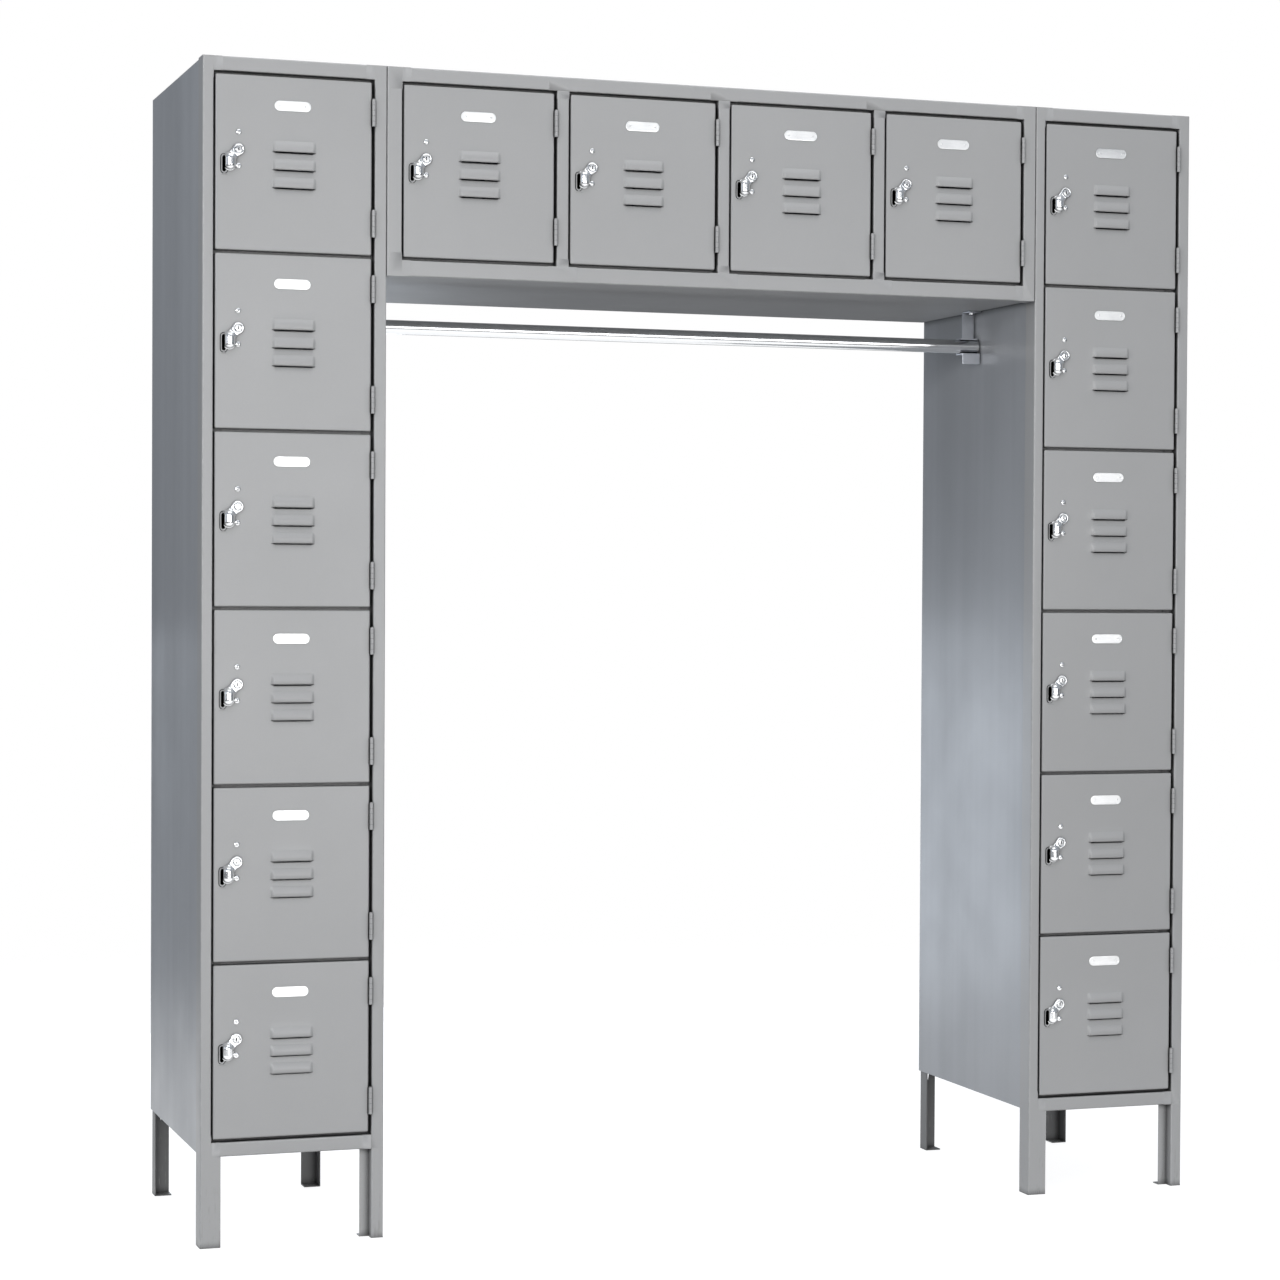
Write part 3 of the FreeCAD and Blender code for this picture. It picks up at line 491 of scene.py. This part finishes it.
def door_shell(width, height, depth):
    """The door's outer skin: a pan with rounded folds, three pressed louvres and a dished slot."""
    tops = [height - LOUVRE_TOP - LOUVRE_PITCH * i for i in range(LOUVRES)]
    lows = [z - LOUVRE_H for z in tops]
    lx0, lx1 = (width - LOUVRE_W) / 2, (width + LOUVRE_W) / 2
    sx, drop, sw, sh = SLOT
    smid = height - drop
    pad = 3.0
    hole = (sx - 2.0, sx + sw + pad, smid - sh / 2 - pad, smid + sh / 2 + pad)
    ends = [LOUVRE_END * f for f in (0, 0.25, 0.5, 0.75, 1)]
    x_marks = [*hole[:2]] + [lx0 + end for end in ends] + [lx1 - end for end in ends]
    z_marks = [*hole[2:]]
    for z in tops:
        z_marks += [z - LOUVRE_H * f for f in (0, .1, .2, .32, .45, .58, .72, .86, 1)]
        z_marks.append(z - LOUVRE_H - LOUVRE_MOUTH)
    xs, zs = spaced_lines(width, x_marks), spaced_lines(height, z_marks)
    r = DOOR_FOLD_R

    def folded(x, y, z):
        """A point of the square-edged pan moved onto its rounded folds."""
        point = Vector((x, y, z))
        core = Vector((min(max(x, r), width - r), max(y, r), min(max(z, r), height - r)))
        away = point - core
        on_fold = away.length > 1e-9 and (y < r or core.x != x or core.z != z)
        return core + away.normalized() * r if on_fold else point

    bm = bmesh.new()
    cache = {}

    def vertex(x, y, z):
        key = (round(x, 4), round(y, 4), round(z, 4))
        if key not in cache:
            cache[key] = bm.verts.new(folded(x, y, z) * MM)
        return cache[key]

    def front(x, z, lower):
        """A front corner; at a louvre's lower lip the hood's edge and the sheet below it are apart."""
        for top, low in zip(tops, lows):
            if low - 1e-6 <= z <= top + 1e-6 and lx0 < x < lx1:
                if abs(z - low) < 1e-6 and lower:
                    return vertex(x, 0, z)
                proud = hood_height(x, z, width, top)
                key = (round(x, 4), "hood", round(z, 4))
                if proud > 1e-6:
                    if key not in cache:
                        cache[key] = bm.verts.new(Vector((x, -proud, z)) * MM)
                    return cache[key]
        return vertex(x, 0, z)

    def is_open(x, z):
        """True inside the slot's hole and in the mouth below a louvre's lip."""
        in_slot = hole[0] < x < hole[1] and hole[2] < z < hole[3]
        below_a_lip = any(low - LOUVRE_MOUTH < z < low for low in lows)
        return in_slot or (below_a_lip and lx0 + LOUVRE_END * 0.7 < x < lx1 - LOUVRE_END * 0.7)

    border_x = [0.0] + xs[1:-1] + [width]
    border_z = [0.0] + zs[1:-1] + [height]
    for x0, x1 in zip(border_x, border_x[1:]):
        for z0, z1 in zip(border_z, border_z[1:]):
            if not is_open((x0 + x1) / 2, (z0 + z1) / 2):
                bottom = front(x0, z0, False), front(x1, z0, False)
                bm.faces.new(bottom + (front(x1, z1, True), front(x0, z1, True)))

    # the flanges, back from the front face's border
    fold = [r * (1 - math.tan(math.radians(a))) for a in (30, 15, 0)]
    ys = [0.0] + fold + [depth]
    for y0, y1 in zip(ys, ys[1:]):
        for a, b in zip(border_x, border_x[1:]):
            for z, ends in ((0, (a, b)), (height, (b, a))):
                corners = [(ends[0], y0), (ends[0], y1), (ends[1], y1), (ends[1], y0)]
                bm.faces.new([vertex(x, y, z) for x, y in corners])
        for a, b in zip(border_z, border_z[1:]):
            for x, ends in ((0, (b, a)), (width, (a, b))):
                corners = [(ends[0], y0), (ends[0], y1), (ends[1], y1), (ends[1], y0)]
                bm.faces.new([vertex(x, y, z) for z, y in corners])

    # the dish inside the hole: (in from the slot's outline, back from the face)
    rows = [(0.0, 0.0), (0.3, 0.15), (0.7, 0.6), (0.95, 1.5), (1.1, SLOT_DEPTH - 0.8),
            (1.6, SLOT_DEPTH - 0.1), (2.4, SLOT_DEPTH)]
    loops = []
    for inset, back in rows:
        ring = capsule_ring(sx, sw, smid, sh, inset)
        loops.append([bm.verts.new(Vector((x, back, z)) * MM) for x, z in ring])
    for a, b in zip(loops, loops[1:]):
        for i in range(len(a)):
            j = (i + 1) % len(a)
            bm.faces.new((a[i], b[i], b[j], a[j])).material_index = 1
    bm.faces.new(loops[-1]).material_index = 1
    mouth = ring_edges(bm, loops[0])

    def on_hole(vert):
        x, y, z = vert.co / MM
        slack = 0.01
        within = hole[0] - slack <= x <= hole[1] + slack and hole[2] - slack <= z <= hole[3] + slack
        return within and abs(y) < 1e-4

    rim = [e for e in bm.edges if e.is_boundary and all(on_hole(v) for v in e.verts) and e not in mouth]
    bmesh.ops.bridge_loops(bm, edges=rim + mouth)
    bmesh.ops.remove_doubles(bm, verts=bm.verts, dist=1e-7)
    bmesh.ops.recalc_face_normals(bm, faces=bm.faces)
    return bm


# ---------------------------------------------------------------- the chrome pull, from a distance field
def soft_union(a, b, k):
    h = np.clip(0.5 + 0.5 * (b - a) / k, 0, 1)
    return b * (1 - h) + a * h - k * h * (1 - h)


def plate_field(flat, top, height, rounding):
    """Distance to a plate of the given outline distance, with a rounded upper edge."""
    a = np.maximum(flat + rounding, 0)
    b = np.maximum(top - height + rounding, 0)
    return np.sqrt(a * a + b * b) + np.minimum(np.maximum(flat, top - height) + rounding, 0) - rounding


def pull_field(x, p, z, lock, body):
    """Signed distance to the pressed pull; p is how proud of the door the point is."""
    dz = np.maximum(np.abs(z - body[1]) - PULL_HALF, 0)
    dx = x - body[0]
    flat = np.sqrt(dx * dx + dz * dz)
    out = np.maximum(p - PULL_CENTRE_OUT, 0)
    dome = np.sqrt(flat * flat + out * out)
    rim = plate_field(flat - PULL_R - PULL_RIM, p, PULL_WALL, 0.5)
    start, end = np.array((body[0] + 1.0, body[1] + 6.0)), np.array((lock[0] - 1.5, lock[1] - 1.0))
    along = end - start
    t = np.clip(((x - start[0]) * along[0] + (z - start[1]) * along[1]) / (along @ along), 0, 1)
    near = np.sqrt((x - start[0] - t * along[0]) ** 2 + (z - start[1] - t * along[1]) ** 2)
    arm = plate_field(near - (7.6 + 0.8 * t), p, 5.2 - 2.8 * t, 1.9)
    r = np.sqrt((x - lock[0]) ** 2 + (z - lock[1]) ** 2)
    ring = plate_field(r - 9.5, p, 2.2, 1.2)
    bead = np.sqrt((r - RING_R) ** 2 + (p - 1.9) ** 2) - RING_TUBE
    shell = soft_union(dome - PULL_R, rim, 1.6)
    ear = soft_union(arm, soft_union(ring, bead, 0.8), 2.5)
    solid = soft_union(shell, ear, 3.2)
    cavity = np.maximum(dome - (PULL_R - PULL_WALL), -p)
    solid = np.maximum(solid, -cavity)
    solid = np.maximum(solid, PULL_MOUTH - x)
    solid = np.maximum(solid, 6.2 - r)
    return np.maximum(solid, -p)


def surface_net(field, low, high, step):
    """Quads over the zero level of a distance field."""
    counts = [int(math.ceil((h - l) / step)) + 1 for l, h in zip(low, high)]
    axes = [low[k] + step * np.arange(counts[k]) for k in range(3)]
    grid = np.meshgrid(*axes, indexing="ij")
    value = field(*grid)
    neg = value < 0
    cells = tuple(c - 1 for c in counts)
    total, weight = np.zeros(cells + (3,)), np.zeros(cells)
    base = np.stack(np.meshgrid(*[np.arange(c) for c in cells], indexing="ij"), -1).astype(float)
    offsets = [(i, j, k) for i in (0, 1) for j in (0, 1) for k in (0, 1)]

    def window(array, o):
        return array[o[0]:o[0] + cells[0], o[1]:o[1] + cells[1], o[2]:o[2] + cells[2]]

    for a in offsets:
        for axis in range(3):
            if a[axis] == 0:
                b = tuple(1 if n == axis else a[n] for n in range(3))
                va, vb = window(value, a), window(value, b)
                crossing = (va < 0) != (vb < 0)
                f = np.where(crossing, va / np.where(crossing, va - vb, 1), 0)
                at = base + np.array(a, float)
                at[..., axis] += f
                total += at * crossing[..., None]
                weight += crossing
    used = weight > 0
    index = -np.ones(cells, int)
    index[used] = np.arange(used.sum())
    points = np.array(low) + step * total[used] / weight[used][:, None]
    quads = []
    for axis in range(3):
        u, v = (axis + 1) % 3, (axis + 2) % 3
        ahead = np.roll(neg, -1, axis)
        change = neg != ahead
        change[tuple(slice(-1, None) if n == axis else slice(None) for n in range(3))] = False
        for i, j, k in np.argwhere(change):
            here = [i, j, k]
            if here[u] == 0 or here[v] == 0 or here[u] >= cells[u] or here[v] >= cells[v]:
                continue
            corner = []
            for du, dv in ((0, 0), (-1, 0), (-1, -1), (0, -1)):
                c = list(here)
                c[u] += du
                c[v] += dv
                corner.append(index[tuple(c)])
            quads.append(corner if not neg[i, j, k] else corner[::-1])
    return points, quads


def settle(points, field):
    """Moves points onto the zero level along the field's slope, in three rounds."""
    e = 0.02
    for _ in range(3):
        slope = np.stack([(field(*(points + d).T) - field(*(points - d).T)) / (2 * e)
                          for d in np.eye(3) * e], 1)
        length = (slope ** 2).sum(1)
        move = field(*points.T) / np.maximum(length, 0.25)
        points = points - np.clip(move, -0.25, 0.25)[:, None] * slope
    return points


def pull_mesh(lock, body):
    """The pull in the door's coordinates, y going back from the face."""
    def field(x, p, z):
        return pull_field(x, p, z, lock, body)

    low = (PULL_MOUTH - 1.3, -1.1, body[1] - 19.0)
    high = (lock[0] + 12.0, 14.0, lock[1] + 12.0)
    points, quads = surface_net(field, low, high, PULL_CELL)
    points = settle(points, field)
    mesh = bpy.data.meshes.new("pull")
    mesh.from_pydata([(x * MM, -p * MM, z * MM) for x, p, z in points], [], quads)
    bm = bmesh.new()
    bm.from_mesh(mesh)
    bmesh.ops.recalc_face_normals(bm, faces=bm.faces)
    bm.to_mesh(mesh)
    bm.free()
    return mesh


# ---------------------------------------------------------------- small fittings
def plate_mesh(bm, shell):
    """The number plate: round ends, a raised border and a shallow field inside it."""
    low, high = limits(shell)
    middle = (low + high) / 2
    width, height = (high.x - low.x) / MM, (high.z - low.z) / MM
    rows = [(0.0, 0.0), (0.0, 0.45), (0.12, 0.7), (0.4, 0.8), (1.3, 0.8), (1.6, 0.55), (1.75, 0.5)]
    loops = []
    for inset, proud in rows:
        loop = []
        r, half = height / 2 - inset, (width - height) / 2
        for sign in (1, -1):
            for i in range(17):
                angle = -math.pi / 2 + math.pi * i / 16 + (0 if sign > 0 else math.pi)
                at = Vector((sign * half + r * math.cos(angle), -proud, r * math.sin(angle))) * MM
                loop.append(bm.verts.new(Vector((middle.x, high.y, middle.z)) + at))
        loops.append(loop)
    for a, b in zip(loops, loops[1:]):
        band(bm, a, b)
    bm.faces.new(list(reversed(loops[0])))
    bm.faces.new(loops[-1])


def dome_head(bm, shell, drive):
    """A screw or rivet head over the shell's place; a screw has a driving recess."""
    low, high = limits(shell)
    radius, middle = (high.x - low.x) / 2 / MM, (low + high) / 2
    if drive:
        tall = 2.0
        profile = [(radius, 0.0), (radius, -0.5)]
        profile += [(radius * math.cos(a), -0.5 - (tall - 0.5) * math.sin(a)) for a in
                    [math.radians(d) for d in (15, 30, 45, 60, 70)]]
        profile += [(1.75, -tall), (1.45, -tall + 0.25), (1.25, -tall + 1.3), (0.4, -tall + 1.5)]
        place = Vector((middle.x, DOOR_FACE_Y, middle.z))
    else:
        tall = (high.y - low.y) / MM + 0.3
        profile = [(radius, 0.0)] + [(radius * math.cos(a), -tall * math.sin(a)) for a in
                                     [math.radians(d) for d in (15, 30, 45, 60, 75, 86)]]
        place = Vector((middle.x, high.y + 0.3 * MM, middle.z))
    lathe(bm, profile, place, 24)


def barrel_mesh(bm, shell):
    """The lock's round face: a chamfered barrel, a plug inside a groove and an upright keyway."""
    low, high = limits(shell)
    middle = (low + high) / 2
    radius = (high.x - low.x) / 2 / MM
    proud = (DOOR_FACE_Y - low.y) / MM
    place = Vector((middle.x, DOOR_FACE_Y, middle.z))
    chamfer = [(radius, 1.0), (radius - 0.12, 0.5), (radius - 0.4, 0.15), (radius - 0.9, 0.0)]
    groove = [(4.7, 0.0), (4.55, 0.15), (4.5, 0.5), (4.3, 0.5), (4.25, 0.1), (4.05, 0.0)]
    outer = [(radius, BARREL_BACK)] + [(r, -proud + back) for r, back in chamfer + groove]
    rings = lathe(bm, outer, place, 40, caps=(True, False))
    half_w, half_h = 0.75, 3.2
    warding = [(-half_w, 0.6), (-half_w - 0.5, 0.4), (-half_w - 0.5, -0.8), (-half_w, -1.0)]
    outline = [(half_w, half_h), (-half_w, half_h)] + warding + [(-half_w, -half_h), (half_w, -half_h)]
    mouth = [bm.verts.new(place + Vector((x, -proud, z)) * MM) for x, z in outline]
    deep = [bm.verts.new(place + Vector((x, -proud + 5.0, z)) * MM) for x, z in outline]
    band(bm, mouth, deep)
    bm.faces.new(deep)
    bmesh.ops.triangle_fill(bm, use_beauty=True, use_dissolve=False,
                            edges=ring_edges(bm, rings[-1]) + ring_edges(bm, mouth))
    stray = [f for f in bm.faces if len(f.verts) == 3 and f.calc_area() > 0
             and all(v in mouth for v in f.verts)]
    bmesh.ops.delete(bm, geom=stray, context="FACES_ONLY")


# ---------------------------------------------------------------- build the cabinet
frame_piece("left_column_frame", "left_column_door_frame")
frame_piece("right_column_frame", "right_column_door_frame")
frame_piece("overhead_frame", "overhead_door_frame")
frame_piece("rod_brackets", "rod_bracket_straps", STRAP_FOLD_R, [steel, steel], "bracket_steel")
coat_rod()
kept("side_panels", paint_side)
kept("back_panels", paint_side)
kept("tops_and_floors", paint)
kept("shelves_and_partitions", paint)
kept("frame_hinges", paint)
kept("fasteners", zinc)
kept("rear_legs", leg_paint_darkened_for_shade)

# ---------------------------------------------------------------- build the doors
DOORS = [n[:-len("_panel")] for n in frame["nodes"] if n.endswith("_panel")]
panel_low, panel_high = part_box(f"{DOORS[0]}_panel")
DOOR_W, DOOR_H = (panel_high.x - panel_low.x) / MM, (panel_high.z - panel_low.z) / MM
DOOR_FACE_Y = panel_high.y - PAN_DEPTH * MM
lock_low, lock_high = limits(shells(DOORS[0] + "_lock")[0])
lock_at = ((lock_low + lock_high) / 2 - panel_low) / MM
LOCK = (lock_at.x, lock_at.z)
rng = np.random.default_rng(TONE_SEED)
tones = dict(zip(sorted(DOORS), rng.uniform(-TONE_SPREAD, TONE_SPREAD, len(DOORS))))
skin = bpy.data.meshes.new("skin")
skin_bm = door_shell(DOOR_W, DOOR_H, PAN_DEPTH)
skin_bm.to_mesh(skin)
skin_bm.free()
pull = pull_mesh(LOCK, (PULL_BODY[0], DOOR_H - PULL_BODY[1]))


def door_pan(door, place):
    sheet = skin.copy()
    sheet.transform(place)
    pan = mesh_piece(f"{door}_pan", sheet, [paint, paint_dish], door, "grey_paint", f"{door}_panel",
                     weighted=False)
    thick = pan.modifiers.new("sheet", "SOLIDIFY")
    thick.thickness, thick.offset, thick.use_even_offset = SHEET_T * MM, -1.0, True
    pan.modifiers.new("normals", "WEIGHTED_NORMAL").keep_sharp = True
    pan["tone"] = float(tones[door])


def door_fittings(door, place):
    """What is fixed to a door: the pull, plate, rivets, case screws, lock case and hinge leaves."""
    fittings = f"{door}_fittings"
    plate, _, case, *rest = shells(fittings)
    rivets, screws, leaves = rest[:2], rest[2:4], rest[4:]
    chromed = pull.copy()
    chromed.transform(place)
    mesh_piece(f"{door}_pull", chromed, [chrome], door, "bright_trim", fittings, smooth=50, weighted=False)
    bm = bmesh.new()
    plate_mesh(bm, plate)
    for rivet in rivets:
        dome_head(bm, rivet, False)
    new_piece(f"{door}_number_plate", bm, [bright], door, "bright_trim", fittings)
    bm = bmesh.new()
    for screw in screws:
        dome_head(bm, screw, True)
    new_piece(f"{door}_case_screws", bm, [chrome], door, "bright_trim", fittings)
    bm = softened(case, [], CASE_FOLD_R * MM, NARROWEST_SIDE, 3)
    new_piece(f"{door}_lock_case", bm, [zinc, zinc], door, "zinc_plate", fittings)
    bm = bmesh.new()
    for leaf in leaves:
        add_to(bm, shell_mesh(leaf))
    new_piece(f"{door}_hinge_leaves", bm, [paint], door, "grey_paint", fittings, weighted=False)


def door_lock(door):
    """The barrel, cam and nut, which turn together."""
    barrel, cam, nut = shells(f"{door}_lock")
    bm = bmesh.new()
    barrel_mesh(bm, barrel)
    for part, radius in ((cam, CAM_FOLD_R), (nut, NUT_FOLD_R)):
        add_to(bm, softened(part, [], radius * MM, NARROWEST_LOCK_SIDE, 2))
    new_piece(f"{door}_lock_turning", bm, [chrome, chrome], door.replace("door", "lock"), "lock_chrome",
              f"{door}_lock")


for door in DOORS:
    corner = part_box(f"{door}_panel")[0]
    place = Matrix.Translation((corner.x, DOOR_FACE_Y, corner.z))
    door_pan(door, place)
    door_fittings(door, place)
    door_lock(door)


# ---------------------------------------------------------------- floor, light and camera
def floor():
    """A pale floor that fades into the background, so that it has no far edge."""
    bm = bmesh.new()
    bmesh.ops.create_circle(bm, cap_ends=True, radius=FLOOR_R, segments=96)
    mesh = bpy.data.meshes.new("floor")
    bm.to_mesh(mesh)
    bm.free()
    made = bpy.data.objects.new("floor", mesh)
    made.location = (0, 0, -FLOOR_DROP)
    bpy.context.scene.collection.objects.link(made)
    material, tree, shader = new_material("pale_floor")
    at = node(tree, "ShaderNodeTexCoord").outputs["Object"]
    shader.inputs["Base Color"].default_value = grey(0.45)
    shader.inputs["Roughness"].default_value = 0.75
    distance = node(tree, "ShaderNodeVectorMath", {0: at}, operation="LENGTH").outputs["Value"]
    shader.inputs["Emission Color"].default_value = grey(1.0)
    shader.inputs["Emission Strength"].default_value = 0.86
    faded = ranged(tree, distance, 1.5, 4.2, 0.0, 1.0, True)
    clear = node(tree, "ShaderNodeBsdfTransparent").outputs[0]
    mixed = node(tree, "ShaderNodeMixShader", {0: faded, 1: shader.outputs[0], 2: clear})
    output = next(n for n in tree.nodes if n.type == "OUTPUT_MATERIAL")
    tree.links.new(mixed.outputs[0], output.inputs["Surface"])
    mesh.materials.append(material)
    made.visible_diffuse = False


def world():
    """An even studio surround: white where it is seen, pale above and dim below in its light."""
    made = bpy.data.worlds.new("studio")
    bpy.context.scene.world = made
    made.use_nodes = True
    tree = made.node_tree
    tree.nodes.clear()
    direction = node(tree, "ShaderNodeTexCoord").outputs["Generated"]
    z = node(tree, "ShaderNodeSeparateXYZ", {0: direction}).outputs["Z"]
    lift = ranged(tree, z, -0.25, 0.35, 0.0, 1.0, True)
    colour = blend_colour(tree, lift, (0.16, 0.165, 0.175, 1.0), (0.62, 0.67, 0.74, 1.0))
    light = node(tree, "ShaderNodeBackground", {"Color": colour, "Strength": WORLD_STRENGTH})
    seen = node(tree, "ShaderNodeBackground", {"Color": grey(1.0), "Strength": 1.0})
    path = node(tree, "ShaderNodeLightPath").outputs["Is Camera Ray"]
    mixed = node(tree, "ShaderNodeMixShader", {0: path, 1: light.outputs[0], 2: seen.outputs[0]})
    output = tree.nodes.new("ShaderNodeOutputWorld")
    tree.links.new(mixed.outputs[0], output.inputs["Surface"])


def area_light(name, place, target, size, power, colour=(1, 1, 1)):
    data = bpy.data.lights.new(name, "AREA")
    data.shape, data.size, data.size_y = "RECTANGLE", size[0], size[1]
    data.energy, data.color = power, colour
    made = bpy.data.objects.new(name, data)
    made.location = place
    made.rotation_euler = (Vector(target) - Vector(place)).to_track_quat("-Z", "Y").to_euler()
    made.visible_camera = False
    bpy.context.scene.collection.objects.link(made)


def camera():
    """A viewpoint left of centre, a little over a metre up and nearly level."""
    data = bpy.data.cameras.new("camera")
    data.lens, data.sensor_width, data.clip_end = CAMERA_LENS, CAMERA_SENSOR, 200.0
    data.shift_x, data.shift_y = CAMERA_SHIFT
    made = bpy.data.objects.new("camera", data)
    stand = Matrix.Translation(CAMERA_PLACE)
    for degrees, axis in ((CAMERA_YAW, "Z"), (CAMERA_PITCH, "X"), (CAMERA_ROLL, "Y"), (90, "X")):
        stand = stand @ Matrix.Rotation(math.radians(degrees), 4, axis)
    made.matrix_world = stand
    bpy.context.scene.collection.objects.link(made)
    bpy.context.scene.camera = made


bpy.context.scene.view_settings.view_transform = "Standard"
floor()
world()
area_light("key", (-3.0, -4.6, 1.9), (0, 0, 0.9), (2.4, 2.0), 100)
area_light("front", (1.2, -6.2, 1.1), (0.25, 0, 0.8), (4.0, 2.4), 106)
area_light("above", (0, -1.2, 4.6), (0, 0, 0), (4.0, 3.0), 50)
area_light("left", (-4.8, -0.9, 1.6), (-0.9, 0.1, 1.0), (1.6, 2.4), 8, (0.88, 0.93, 1.0))
area_light("bay", (-0.45, 2.4, 0.5), (0.6, 0.1, 0.75), (1.4, 1.0), 12, (0.84, 0.91, 1.0))
camera()
